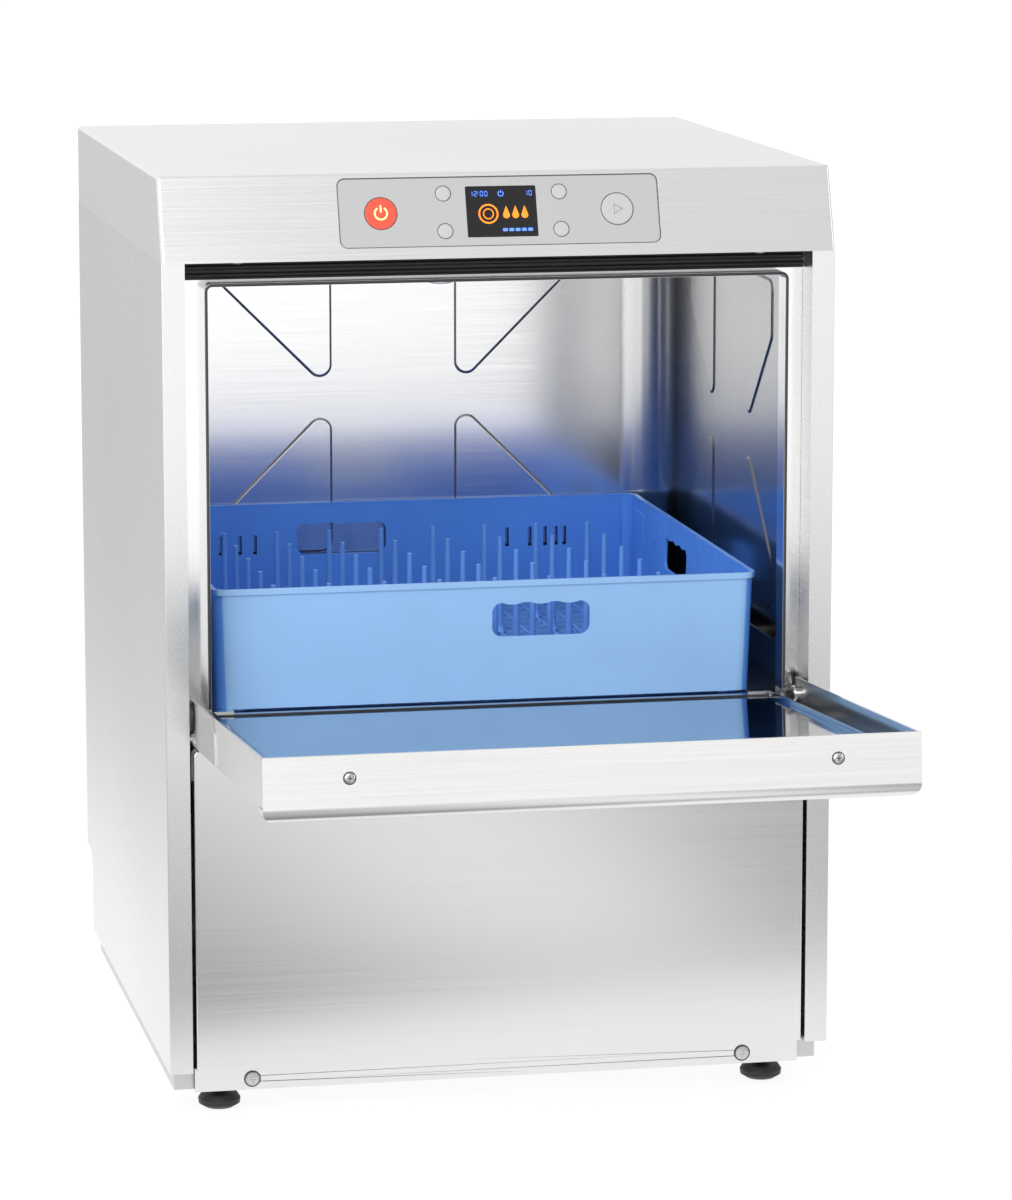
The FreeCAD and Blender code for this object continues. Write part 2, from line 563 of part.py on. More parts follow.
def door_inner_pan():
    """Polished inner face: flat pan, raised rims and a drip channel on each side."""
    front = -DOOR_L + 3.1
    floor = box(-PAN_HALF - 1, PAN_HALF + 1, front, PAN_BACK, PAN_Z - 1, PAN_Z)
    back = box(-PAN_HALF - 1, PAN_HALF + 1, PAN_BACK - 1, PAN_BACK, -12.6, PAN_Z)
    wall = box(-271, 271, front, front + 1.2, CHANNEL_Z - 1, 13.4)
    pieces = [floor, back, wall]
    for s in (-1, 1):
        x0, x1 = sorted((s * PAN_HALF, s * (PAN_HALF + 2)))
        pieces.append(box(x0, x1, -PAN_RIM_END, PAN_BACK, CHANNEL_Z - 1, PAN_RIM))
        x0, x1 = sorted((s * (PAN_HALF + 1), s * 271))
        pieces.append(box(x0, x1, front, -18, CHANNEL_Z - 1, CHANNEL_Z))
    return fuse(*pieces)


def door_handle_edge():
    """Front face with its top hem and the rolled pull along the bottom."""
    t, front = SHEET, -DOOR_L
    c = (front + HANDLE_R, HANDLE_Z)
    x = -DOOR_HALF
    ends = (front + 4.3, RIM)
    r, ri = HANDLE_R, HANDLE_R - t
    edges = [line(x, ends, (front, RIM)), line(x, (front, RIM), (front, c[1])), arc(r, 180, 360, c, x),
             line(x, (c[0] + r, c[1]), (c[0] + ri, c[1])), arc(ri, 360, 180, c, x),
             line(x, (front + t, c[1]), (front + t, RIM - t)), line(x, (front + t, RIM - t), (ends[0], RIM - t)),
             line(x, (ends[0], RIM - t), ends)]
    edge = chained(edges, 2 * DOOR_HALF)
    half_disc = [arc(r, 180, 360, c, 0), line(0, (c[0] + r, c[1]), (c[0] - r, c[1]))]
    caps = []
    for x0 in (-DOOR_HALF, DOOR_HALF - 3.0):
        cap = chained(half_disc, 3.0)
        cap.translate(V(x0, 0, 0))
        caps.append(cap)
    edge = fuse(edge, *caps)
    blank = box(-DOOR_HALF, DOOR_HALF, front - 1, front + 40, HANDLE_Z - HANDLE_R, RIM)
    blank = round_corners(blank, 10.0, YAX, lambda p: p.z < 0)
    return edge.common(blank)


def door_screws():
    heads = []
    for s in (-1, 1):
        at = V(s * DOOR_SCREW_X, -DOOR_L, DOOR_SCREW_Z)
        dome = turned([(0, 0), (4.6, 0), (4.4, 0.9), (3.0, 1.9), (0, 2.2)], at, -YAX)
        slot = box(at.x - 2.2, at.x + 2.2, at.y - 4, at.y - 1.2, at.z - 0.4, at.z + 0.4)
        cross = box(at.x - 0.4, at.x + 0.4, at.y - 4, at.y - 1.2, at.z - 2.2, at.z + 2.2)
        heads.append(dome.cut(slot).cut(cross))
    return Part.makeCompound(heads)


def hinge_arms():
    def make():
        plate = prism_x([(8.7, RIM - 0.3), (-118, RIM - 0.3), (-133, 2), (-138, -25.5), (-27, -25.5)], ARM_X0, ARM_X1)
        disc = rod(15, V(ARM_X0, 0, 0), XAX, ARM_X1 - ARM_X0)
        return fuse(plate, disc).cut(rod(PIN_R + 0.02, V(ARM_X0 - 1, 0, 0), XAX, 5))
    return both_sides(make)


def hinge_cranks():
    """Hinge pin that turns with the door, with the spring's crank on its outer end."""
    def make():
        pin = rod(PIN_R, V(268.5, 0, 0), XAX, 22.5)
        head = rod(8, V(267.5, 0, 0), XAX, 2)
        bar = box(CRANK_X0, CRANK_X1, 0, CRANK_L, -6, 6)
        tip = rod(6, V(CRANK_X0, CRANK_L, 0), XAX, CRANK_X1 - CRANK_X0)
        lever = fuse(bar, tip, rod(9, V(CRANK_X0, 0, 0), XAX, CRANK_X1 - CRANK_X0))
        lever.rotate(V(), XAX, CRANK_ANGLE)
        return fuse(pin, head, lever)
    return both_sides(make)


def door_magnet():
    return box(-240, -212, -386, -376, SKIN + SHEET, SKIN + SHEET + 6)


# ------------------------------------------------------------------ hinge, fixed side

def hinge_bushes():
    def make():
        at = V(BUSH_X0, HINGE_Y, HINGE_Z)
        flange = rod(BUSH_R, at, XAX, BUSH_X1 - BUSH_X0)
        sleeve = rod(BUSH_R / 2, at, XAX, 286 - BUSH_X0)
        return fuse(flange, sleeve).cut(rod(PIN_R + RUN_FIT, at - V(1, 0, 0), XAX, 20))
    return both_sides(make)


def hinge_brackets():
    def make():
        plate = box(281, 284, 3, FRAME_Y0 - 0.1, 140, 395)
        shelf = box(281, 297, 24, 44, 140, 143)
        return fuse(plate, shelf).cut(rod(BUSH_R / 2 + 0.05, V(270, HINGE_Y, HINGE_Z), XAX, 20))
    return both_sides(make)


def door_springs():
    def make():
        y = HINGE_Y + CRANK_L * math.cos(math.radians(CRANK_ANGLE - OPEN_TILT))
        top = HINGE_Z + CRANK_L * math.sin(math.radians(CRANK_ANGLE - OPEN_TILT)) - 11
        coil = ring(6.0, 4.0, V(290.5, y, 150), ZAX, top - 156)
        hook = rod(1.5, V(290.5, y, 143.1), ZAX, 10)
        return fuse(coil, hook, rod(4.5, V(290.5, y, 150), ZAX, 3), rod(4.5, V(290.5, y, top - 9), ZAX, 3),
                    rod(1.5, V(290.5, y, top - 9), ZAX, 9))
    return both_sides(make)


# ------------------------------------------------------------------ rack

def rounded_loop(half, radius, z):
    """Square with rounded corners, centred on the rack's axis."""
    cx, cy = RACK_X, RACK_Y
    flat = half - radius
    edges = []
    for k in range(4):
        turn = FreeCAD.Rotation(ZAX, 90 * k)
        p = [turn.multVec(V(*q)) + V(cx, cy, z) for q in
             ((half, -flat, 0), (half, flat, 0),
              (flat + radius * math.sqrt(0.5), flat + radius * math.sqrt(0.5), 0), (flat, half, 0))]
        edges.append(Part.LineSegment(p[0], p[1]).toShape())
        edges.append(Part.Arc(p[1], p[2], p[3]).toShape())
    return Part.Wire(edges)


def tapered_block(inset, z0, z1):
    def half(z):
        return RACK_HALF - RIM_OVERHANG - RACK_TAPER * (RACK_Z1 - z) / (RACK_Z1 - RACK_Z0) - inset
    return Part.makeLoft([rounded_loop(half(z0), RACK_R - inset, z0),
                          rounded_loop(half(z1), RACK_R - inset, z1)], True, True)


def hand_slot():
    """Grip opening with a scalloped upper edge, through the front wall."""
    y0, y1 = RACK_Y0 - 6, RACK_Y0 + 14
    middle = RACK_X + SLOT_OFFSET
    window = box(middle - SLOT_W / 2, middle + SLOT_W / 2, y0, y1, SLOT_Z0, SLOT_Z1)
    window = round_corners(window, 9.0, YAX)
    for offset in (-26.0, 0.0, 26.0):
        at = V(middle + offset, y0 - 1, SLOT_Z1 + SCALLOP_R - SCALLOP_SAG)
        window = window.cut(rod(SCALLOP_R, at, YAX, y1 - y0 + 2))
    return window


def drain_slits():
    y0, y1 = RACK_Y0 - 6, RACK_Y0 + 14
    return [box(RACK_X + x - SLIT_W / 2, RACK_X + x + SLIT_W / 2, y0, y1, SLIT_Z0, SLIT_Z1) for x in SLIT_X]


def rack_walls():
    shell = tapered_block(0, RACK_Z0, RACK_Z1 - 0.1).cut(tapered_block(RACK_WALL, RACK_Z0 - 1, RACK_Z1 + 1))
    z0, z1 = RACK_Z1 - 5.0, RACK_Z1
    rim = Part.Face(rounded_loop(RACK_HALF, RACK_R, z0)).extrude(V(0, 0, z1 - z0))
    rim = rim.cut(Part.Face(rounded_loop(RACK_HALF - 4.4, RACK_R - 4.4, z0 - 1)).extrude(V(0, 0, 8)))
    foot = Part.Face(rounded_loop(RACK_HALF - RIM_OVERHANG - RACK_TAPER - 0.5, RACK_R, RACK_Z0)).extrude(V(0, 0, 3))
    foot = foot.cut(Part.Face(rounded_loop(RACK_HALF - 15, RACK_R - 10, RACK_Z0 - 1)).extrude(V(0, 0, 6)))
    walls = fuse(shell, rim, foot)
    centre = V(RACK_X, RACK_Y, 0)
    for k in range(4):
        cuts = [hand_slot()] + (drain_slits() if k else [])
        for cutter in cuts:
            cutter.rotate(centre, ZAX, 90 * k)
            walls = walls.cut(cutter)
    return walls


def rack_floor():
    """Lattice floor inside the walls' foot ring."""
    half = RACK_HALF - 15.2
    z0, z1 = RACK_Z0, RACK_Z0 + FLOOR_T
    count = int(2 * half / GRID_PITCH)
    bars = []
    for i in range(count + 1):
        at = -count / 2 * GRID_PITCH + i * GRID_PITCH
        reach = half if abs(at) < half - 14 else half - 16
        bars.append(box(RACK_X + at - 1.6, RACK_X + at + 1.6, RACK_Y - reach, RACK_Y + reach, z0, z1))
        bars.append(box(RACK_X - reach, RACK_X + reach, RACK_Y + at - 1.6, RACK_Y + at + 1.6, z0, z1))
    return fuse(*bars)


def rack_pegs():
    """Rows of tapered pegs that stand on the lattice and hold the plates apart."""
    z0 = RACK_Z0 + FLOOR_T
    pegs = []
    for i in range(PEG_COLUMNS):
        for j in range(PEG_ROWS):
            x = RACK_X + (i - (PEG_COLUMNS - 1) / 2) * PEG_PITCH_X
            y = RACK_Y + (j - (PEG_ROWS - 1) / 2) * PEG_PITCH_Y
            foot = Part.makeCone(PEG_FOOT_R, PEG_R0, 6, V(x, y, z0))
            pegs.append(foot.fuse(Part.makeCone(PEG_R0, PEG_R1, PEG_TIP_Z - z0 - 6, V(x, y, z0 + 6))))
    return Part.makeCompound(pegs)


# ------------------------------------------------------------------ build

def build():
    os.makedirs("parts", exist_ok=True)
    right = side_panel()
    save("side_panel_right", right)
    save("side_panel_left", right.mirror(V(), XAX))
    for make in (hood_cover, rear_panel, lower_front_panel, base_sill, base_frame, casing_screws, wash_tank,
                 front_frame, top_seal, rack_rails, arm_spindles, surface_strainers, suction_filter,
                 tank_heater, wash_pump_housing, wash_pump_motor, pump_impeller, suction_hose,
                 delivery_pipe, drain_pump, rinse_boiler, solenoid_valve, water_inlet, cable_gland,
                 air_gap, dosing_pumps, electrical_box, door_switch, hinge_bushes, hinge_brackets,
                 door_springs, rack_walls, rack_floor, rack_pegs):
        save(make.__name__, make())
    for make in (control_fascia, display_screen, control_board):
        save(make.__name__, make(), slope_placement())
    for make in (door_outer_skin, door_inner_pan, door_handle_edge, door_screws, hinge_arms,
                 hinge_cranks, door_magnet):
        save(make.__name__, make(), door_placement())
    save("lower_wash_arm", spray_arm(ARM_REACH, 34, 325, 339, 22, 322, 344, 7, True))
    save("lower_rinse_arm", spray_arm(RINSE_REACH, 13, 347, 353, 15, 346, 354, 8, True))
    save("upper_wash_arm", spray_arm(ARM_REACH, 34, 723, 735, 22, 721, 738, 7, False))
    save("upper_rinse_arm", spray_arm(RINSE_REACH, 13, 713, 719, 15, 712.5, 720, 8, False))
    for name, (x, u) in BIG_BUTTONS.items():
        save(name, push_button(x, u, BIG_R), slope_placement())
    for i, (x, u) in enumerate((x, u) for x in SMALL_X for u in SMALL_U):
        save("select_button_%d" % (i + 1), push_button(x, u, SMALL_R), slope_placement())
    for name, (x, y) in FEET.items():
        save("foot_" + name, levelling_foot(x, y))


build()
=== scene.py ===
import math

import bmesh
import bpy
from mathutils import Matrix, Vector


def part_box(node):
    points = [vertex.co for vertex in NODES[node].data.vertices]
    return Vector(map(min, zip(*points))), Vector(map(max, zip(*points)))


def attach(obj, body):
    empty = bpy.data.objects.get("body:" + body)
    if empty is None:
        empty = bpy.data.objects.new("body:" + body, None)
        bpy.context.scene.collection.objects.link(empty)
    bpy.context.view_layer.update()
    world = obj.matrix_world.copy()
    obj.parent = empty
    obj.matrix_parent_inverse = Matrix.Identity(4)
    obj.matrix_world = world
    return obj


# Looks of the undercounter dishwasher, in metres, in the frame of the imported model.
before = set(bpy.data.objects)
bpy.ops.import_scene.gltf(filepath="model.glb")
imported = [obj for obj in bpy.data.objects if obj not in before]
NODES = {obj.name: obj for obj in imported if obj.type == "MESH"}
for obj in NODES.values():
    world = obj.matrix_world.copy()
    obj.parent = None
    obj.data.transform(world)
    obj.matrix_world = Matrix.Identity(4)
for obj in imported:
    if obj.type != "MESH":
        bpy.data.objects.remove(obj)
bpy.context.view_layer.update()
MM = 0.001


def box_of(node):
    lo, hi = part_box(node)
    return Vector(lo), Vector(hi)


RACK_LO, RACK_HI = box_of("rack_walls")
RACK_DRAFT = 3.5 / 108      # how far the rack's walls lean in, over their height


# ------------------------------------------------------------------ camera, lights and world

CAMERA_AT = Vector((-0.8714, -4.4069, 1.2148))
CAMERA_YAW, CAMERA_PITCH = 0.20069, 0.17072
CAMERA_LENS = 151.35

# how bright the world is from left (-1) to right (1), and in front and behind
WORLD_ACROSS = [(-1.0, 0.85), (0.0, 0.80), (0.3, 0.74), (0.75, 0.52), (1.0, 0.45)]
WORLD_FRONT, WORLD_BEHIND = 1.0, 1.22


def make_camera():
    data = bpy.data.cameras.new("camera")
    data.sensor_width = 36.0
    data.lens = CAMERA_LENS
    data.clip_start, data.clip_end = 0.05, 200.0
    cam = bpy.data.objects.new("camera", data)
    bpy.context.scene.collection.objects.link(cam)
    ahead = Vector((math.sin(CAMERA_YAW) * math.cos(CAMERA_PITCH),
                    math.cos(CAMERA_YAW) * math.cos(CAMERA_PITCH), -math.sin(CAMERA_PITCH)))
    cam.location = CAMERA_AT
    cam.rotation_euler = ahead.to_track_quat("-Z", "Y").to_euler()
    bpy.context.scene.camera = cam


def area_light(name, at, target, size, power):
    data = bpy.data.lights.new(name, "AREA")
    data.shape = "RECTANGLE"
    data.size, data.size_y = size
    data.energy = power
    light = bpy.data.objects.new(name, data)
    light.location = at
    light.rotation_euler = (Vector(target) - Vector(at)).to_track_quat("-Z", "Y").to_euler()
    bpy.context.scene.collection.objects.link(light)


def make_lights():
    area_light("key", (-1.6, -3.2, 3.0), (0, 0, 0.4), (1.8, 1.8), 55)
    area_light("fill", (-2.6, -2.6, 1.3), (0, 0.1, 0.5), (1.4, 1.4), 22)
    area_light("chamber", (0, 0.18, 0.7445), (0, 0.18, 0.3), (0.44, 0.38), 0.7)
    area_light("right", (3.2, -1.0, 1.6), (0, 0, 0.5), (1.0, 2.2), 12)


class Graph:
    """Short calls for the arithmetic of a node tree; values are sockets or numbers."""

    def __init__(self, tree):
        self.tree = tree

    def put(self, value, socket):
        if isinstance(value, (int, float)):
            socket.default_value = value
        else:
            self.tree.links.new(value, socket)

    def op(self, kind, *values):
        node = self.tree.nodes.new("ShaderNodeMath")
        node.operation = kind
        for value, socket in zip(values, node.inputs):
            self.put(value, socket)
        return node.outputs[0]

    def fade(self, value, start, end, low=0.0, high=1.0):
        node = self.tree.nodes.new("ShaderNodeMapRange")
        node.interpolation_type = "SMOOTHSTEP"
        self.put(value, node.inputs["Value"])
        for key, number in (("From Min", start), ("From Max", end), ("To Min", low), ("To Max", high)):
            self.put(number, node.inputs[key])
        return node.outputs["Result"]

    def mix(self, factor, low, high):
        return self.op("ADD", self.op("MULTIPLY", factor, high),
                       self.op("MULTIPLY", self.op("SUBTRACT", 1.0, factor), low))

    def steps(self, value, stops):
        """Smooth run through (position, level) pairs."""
        level = stops[0][1]
        for (p0, l0), (p1, l1) in zip(stops, stops[1:]):
            level = self.op("ADD", level, self.fade(value, p0, p1, 0.0, l1 - l0))
        return level

    def axes(self, output):
        coord = self.tree.nodes.new("ShaderNodeTexCoord")
        split = self.tree.nodes.new("ShaderNodeSeparateXYZ")
        self.tree.links.new(coord.outputs[output], split.inputs[0])
        return split.outputs

    def grey(self, level):
        """Colour with one level in all three channels."""
        node = self.tree.nodes.new("ShaderNodeCombineColor")
        for socket in node.inputs:
            self.tree.links.new(level, socket)
        return node.outputs[0]

    def blend(self, factor, first, second, kind="MIX"):
        """Mix of two colours."""
        node = self.tree.nodes.new("ShaderNodeMix")
        node.data_type, node.blend_type = "RGBA", kind
        for value, index in ((factor, 0), (first, 6), (second, 7)):
            self.put(value, node.inputs[index])
        return node.outputs[2]


def make_world():
    """White studio: a little greyer in front and clearly greyer to the right."""
    world = bpy.data.worlds.new("studio")
    bpy.context.scene.world = world
    world.use_nodes = True
    tree = world.node_tree
    back = tree.nodes["Background"]
    graph = Graph(tree)
    x, y, _ = graph.axes("Generated")
    level = graph.op("MULTIPLY", graph.steps(x, WORLD_ACROSS),
                     graph.fade(y, -0.4, 0.3, WORLD_FRONT, WORLD_BEHIND))
    tree.links.new(graph.grey(level), back.inputs["Color"])
    back.inputs["Strength"].default_value = 1.0


# ------------------------------------------------------------------ materials

NOISE_LOW, NOISE_HIGH = 0.3, 0.7      # where most of a noise texture's values lie
BRUSH_DEPTH, SKIN_DEPTH = 0.00003, 0.00006


class Mat:
    """A Principled material with short helpers for its procedural textures."""

    def __init__(self, name, colour, metallic=0.0, roughness=0.4):
        self.mat = bpy.data.materials.new(name)
        self.mat.use_nodes = True
        self.tree = self.mat.node_tree
        self.bsdf = self.tree.nodes["Principled BSDF"]
        self.colour = colour
        self.bsdf.inputs["Base Color"].default_value = (*colour, 1)
        self.bsdf.inputs["Metallic"].default_value = metallic
        self.bsdf.inputs["Roughness"].default_value = roughness
        self.coord = self.tree.nodes.new("ShaderNodeTexCoord")

    def noise(self, stretch, detail=3.0):
        mapping = self.tree.nodes.new("ShaderNodeMapping")
        mapping.inputs["Scale"].default_value = stretch
        self.tree.links.new(self.coord.outputs["Object"], mapping.inputs["Vector"])
        tex = self.tree.nodes.new("ShaderNodeTexNoise")
        tex.inputs["Scale"].default_value = 1.0
        tex.inputs["Detail"].default_value = detail
        tex.inputs["Roughness"].default_value = 0.55
        self.tree.links.new(mapping.outputs[0], tex.inputs["Vector"])
        return tex.outputs["Fac"]

    def tints(self, source, colour, dark, light):
        """Colour that runs between two tints of one colour."""
        ramp = self.tree.nodes.new("ShaderNodeValToRGB")
        stops = ramp.color_ramp.elements
        stops[0].position, stops[1].position = NOISE_LOW, NOISE_HIGH
        stops[0].color = (*(c * dark for c in colour), 1)
        stops[1].color = (*(min(1.0, c * light) for c in colour), 1)
        self.tree.links.new(source, ramp.inputs[0])
        return ramp.outputs[0]

    def base(self, colour):
        self.tree.links.new(colour, self.bsdf.inputs["Base Color"])

    def shade(self, source, dark, light):
        self.base(self.tints(source, self.colour, dark, light))

    def rough(self, source, low, high):
        node = self.tree.nodes.new("ShaderNodeMapRange")
        for key, number in (("From Min", NOISE_LOW), ("From Max", NOISE_HIGH),
                            ("To Min", low), ("To Max", high)):
            node.inputs[key].default_value = number
        self.tree.links.new(source, node.inputs["Value"])
        self.tree.links.new(node.outputs["Result"], self.bsdf.inputs["Roughness"])

    def bump(self, source, strength, distance):
        node = self.tree.nodes.new("ShaderNodeBump")
        node.inputs["Strength"].default_value = strength
        node.inputs["Distance"].default_value = distance
        self.tree.links.new(source, node.inputs["Height"])
        self.tree.links.new(node.outputs[0], self.bsdf.inputs["Normal"])


def brushed(name, colour, low, high, along, grain=0.022, cloud=0.03):
    """Sheet steel brushed along one axis: x, y or z."""
    m = Mat(name, colour, metallic=1.0, roughness=(low + high) / 2)
    fine = {"x": (5, 1400, 1400), "y": (1400, 5, 1400), "z": (1400, 1400, 5)}[along]
    lines = m.noise(fine, detail=2.0)
    m.shade(m.noise((2.2, 2.2, 2.2), detail=1.0), 1 - cloud, 1 + cloud)
    m.rough(lines, low, high)
    m.bump(lines, grain, BRUSH_DEPTH)
    return m.mat


def moulded(name, colour, low, high, grain=0.15, cloud=0.06):
    """Moulded plastic or rubber with a fine skin and slight mottling."""
    m = Mat(name, colour, roughness=(low + high) / 2)
    m.shade(m.noise((9, 9, 9), detail=2.0), 1 - cloud, 1 + cloud)
    m.rough(m.noise((60, 60, 60)), low, high)
    m.bump(m.noise((2500, 2500, 2500), detail=2.0), grain, SKIN_DEPTH)
    return m.mat


def glowing(name, colour, strength):
    """Lit symbol on a display, a little uneven like a backlight."""
    m = Mat(name, colour)
    light = m.tints(m.noise((300, 300, 300), detail=1.0), colour, 0.9, 1.05)
    m.base(light)
    m.tree.links.new(light, m.bsdf.inputs["Emission Color"])
    m.bsdf.inputs["Emission Strength"].default_value = strength
    return m.mat


def tank_steel():
    """Chamber steel, with painted shade that makes it much darker on the right-hand wall."""
    m = Mat("tank_steel", (0.86, 0.86, 0.86), metallic=1.0)
    lines = m.noise((5, 1400, 1400), detail=2.0)
    even = m.tints(m.noise((2.2, 2.2, 2.2), detail=1.0), m.colour, 0.96, 1.04)
    graph = Graph(m.tree)
    x, _, _ = graph.axes("Object")
    # painted shade: the right-hand wall gets about half the brightness of the rest
    painted_right_wall_shade = graph.grey(graph.fade(x, 0.20, 0.27, 1.0, 0.52))
    m.base(graph.blend(1.0, even, painted_right_wall_shade, "MULTIPLY"))
    m.rough(lines, 0.16, 0.22)
    m.bump(lines, 0.012, BRUSH_DEPTH)
    return m.mat


def rack_shell():
    """Rack walls: deep blue, with painted light making the front wall's outer face paler."""
    m = Mat("rack_shell", (0.10, 0.31, 0.88))
    m.bsdf.inputs["Specular IOR Level"].default_value = 0.35
    cloud = m.noise((9, 9, 9), detail=2.0)
    deep = m.tints(cloud, m.colour, 0.93, 1.07)
    # painted light: the paler tint given to the front wall's outer face
    painted_light_tint = m.tints(cloud, (0.31, 0.55, 0.90), 0.96, 1.04)
    graph = Graph(m.tree)
    _, y, z = graph.axes("Object")
    lean = graph.op("MULTIPLY", graph.op("SUBTRACT", RACK_HI.z, z), RACK_DRAFT)
    depth = graph.op("SUBTRACT", y, lean)
    painted_light_mask = graph.fade(depth, RACK_LO.y + 2.4 * MM, RACK_LO.y + 3.4 * MM, 1.0, 0.0)
    m.base(graph.blend(painted_light_mask, deep, painted_light_tint))
    m.rough(m.noise((60, 60, 60)), 0.30, 0.42)
    m.bump(m.noise((2500, 2500, 2500), detail=2.0), 0.10, SKIN_DEPTH)
    return m.mat


def make_materials():
    steel = (0.80, 0.795, 0.785)
    return {
        "hood": brushed("hood_steel", (0.86, 0.855, 0.845), 0.24, 0.33, "x"),
        "side": brushed("side_steel", (0.80, 0.80, 0.798), 0.26, 0.31, "y", grain=0.008),
        "front": brushed("front_steel", steel, 0.19, 0.26, "x"),
        "tank": tank_steel(),
        # painted shade: dark steel for the narrow faces of the pressed creases
        "crease": brushed("crease_painted_shade", (0.20, 0.20, 0.21), 0.28, 0.36, "x", grain=0.02),
        # painted shade: near-black steel for the doorway hem, the threshold's front edge and the screw
        # marks
        "hem": brushed("painted_shade_steel", (0.085, 0.085, 0.09), 0.30, 0.40, "z", grain=0.02),
        "lip": brushed("lip_steel", (0.80, 0.80, 0.80), 0.12, 0.18, "z", grain=0.015),
        "mirror": brushed("mirror_steel", (0.50, 0.51, 0.53), 0.035, 0.06, "x", grain=0.01, cloud=0.02),
        "frame": brushed("frame_steel", (0.62, 0.62, 0.62), 0.30, 0.42, "x"),
        "screw": brushed("screw_steel", (0.60, 0.60, 0.61), 0.18, 0.28, "x"),
        "arm": brushed("arm_steel", (0.72, 0.72, 0.73), 0.22, 0.32, "x"),
        "brass": brushed("brass_cast", (0.72, 0.52, 0.22), 0.30, 0.42, "y"),
        "rubber": moulded("black_rubber", (0.012, 0.012, 0.013), 0.42, 0.58, cloud=0.2),
        "black": moulded("black_plastic", (0.018, 0.018, 0.02), 0.30, 0.44, cloud=0.2),
        "fascia": moulded("fascia_film", (0.50, 0.50, 0.505), 0.42, 0.5, grain=0.10, cloud=0.015),
        "button": moulded("button_film", (0.55, 0.55, 0.555), 0.36, 0.44, grain=0.06, cloud=0.015),
        "coral": moulded("coral_button", (0.95, 0.10, 0.06), 0.30, 0.40, grain=0.05, cloud=0.05),
        "screen": moulded("screen_glass", (0.006, 0.006, 0.008), 0.08, 0.12, grain=0.01, cloud=0.2),
        "board": moulded("board_green", (0.02, 0.14, 0.05), 0.4, 0.5),
        "rack": moulded("rack_plastic", (0.16, 0.38, 0.88), 0.30, 0.42, grain=0.10, cloud=0.05),
        "rack_shell": rack_shell(),
        "pump": moulded("pump_plastic", (0.10, 0.105, 0.115), 0.4, 0.55),
        "hose": moulded("hose_rubber", (0.05, 0.05, 0.055), 0.5, 0.65),
        "outline": moulded("painted_gap_shade", (0.10, 0.10, 0.105), 0.4, 0.5),
        "glow_yellow": glowing("glow_yellow", (1.0, 0.72, 0.25), 1.2),
        "glow_blue": glowing("glow_blue", (0.10, 0.24, 0.95), 0.9),
        "glow_orange": glowing("glow_orange", (1.0, 0.24, 0.01), 0.9),
        "ink_grey": moulded("ink_grey", (0.34, 0.34, 0.345), 0.4, 0.5, cloud=0.05),
    }


MATERIALS = make_materials()

# material and edge rounding, in millimetres, of each CAD node
DRESS = {
    "hood_cover": ("hood", 0.6), "side_panel_left": ("side", 0.6), "side_panel_right": ("side", 0.6),
    "rear_panel": ("side", 0.3), "lower_front_panel": ("front", 0.35), "base_sill": ("front", 0.35),
    "base_frame": ("frame", 0.4), "casing_screws": ("screw", 0.2), "wash_tank": ("tank", 0.0),
    "front_frame": ("lip", 0.5), "top_seal": ("rubber", 0.4), "rack_rails": ("tank", 0.4),
    "arm_spindles": ("arm", 0.4), "surface_strainers": ("tank", 0.3), "suction_filter": ("tank", 0.3),
    "tank_heater": ("screw", 0.0), "wash_pump_housing": ("pump", 0.0), "wash_pump_motor": ("pump", 0.0),
    "pump_impeller": ("black", 0.0), "suction_hose": ("hose", 0.0), "delivery_pipe": ("hose", 0.0),
    "drain_pump": ("pump", 0.5), "rinse_boiler": ("frame", 0.0), "solenoid_valve": ("black", 0.5),
    "water_inlet": ("brass", 0.4), "cable_gland": ("black", 0.5), "air_gap": ("pump", 0.5),
    "dosing_pumps": ("pump", 0.5), "electrical_box": ("black", 0.5), "door_switch": ("black", 0.5),
    "hinge_bushes": ("black", 0.6), "hinge_brackets": ("frame", 0.3), "door_springs": ("screw", 0.0),
    "rack_walls": ("rack_shell", 0.6), "rack_floor": ("rack", 0.5), "rack_pegs": ("rack", 0.3),
    "control_fascia": ("fascia", 0.15), "display_screen": ("screen", 0.12), "control_board": ("board", 0.0),
    "door_outer_skin": ("front", 0.35), "door_inner_pan": ("mirror", 0.45),
    "door_handle_edge": ("front", 0.4),
    "door_screws": ("screw", 0.15), "hinge_arms": ("frame", 0.3), "hinge_cranks": ("screw", 0.3),
    "door_magnet": ("black", 0.4), "lower_wash_arm": ("arm", 1.2), "lower_rinse_arm": ("arm", 0.8),
    "upper_wash_arm": ("arm", 1.2), "upper_rinse_arm": ("arm", 0.8), "power_button": ("coral", 0.12),
    "start_button": ("button", 0.12), "select_button_1": ("button", 0.12),
    "select_button_2": ("button", 0.12), "select_button_3": ("button", 0.12),
    "select_button_4": ("button", 0.12),
    "foot_front_left": ("rubber", 0.5), "foot_front_right": ("rubber", 0.5),
    "foot_rear_left": ("rubber", 0.5), "foot_rear_right": ("rubber", 0.5),
}


def round_edges(obj, width):
    """Rounded edges, width in millimetres, and normals that keep flat faces flat."""
    weld = obj.modifiers.new("weld", "WELD")
    weld.merge_threshold = 0.02 * MM
    if width:
        bevel = obj.modifiers.new("bevel", "BEVEL")
        bevel.width = width * MM
        bevel.segments = 2
        bevel.limit_method = "ANGLE"
        bevel.angle_limit = math.radians(32)
    smooth = obj.modifiers.new("normals", "WEIGHTED_NORMAL")
    smooth.keep_sharp = True


def dress_nodes():
    for name, obj in NODES.items():
        material, width = DRESS[name]
        obj.data.materials.clear()
        obj.data.materials.append(MATERIALS[material])
        round_edges(obj, width)


# ------------------------------------------------------------------ mesh helpers

def finish_piece(name, mesh, material, body):
    """Piece made of a mesh, carried by a body of the frame."""
    obj = bpy.data.objects.new(name, mesh)
    bpy.context.scene.collection.objects.link(obj)
    mesh.materials.append(MATERIALS[material])
    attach(obj, body)
    return obj


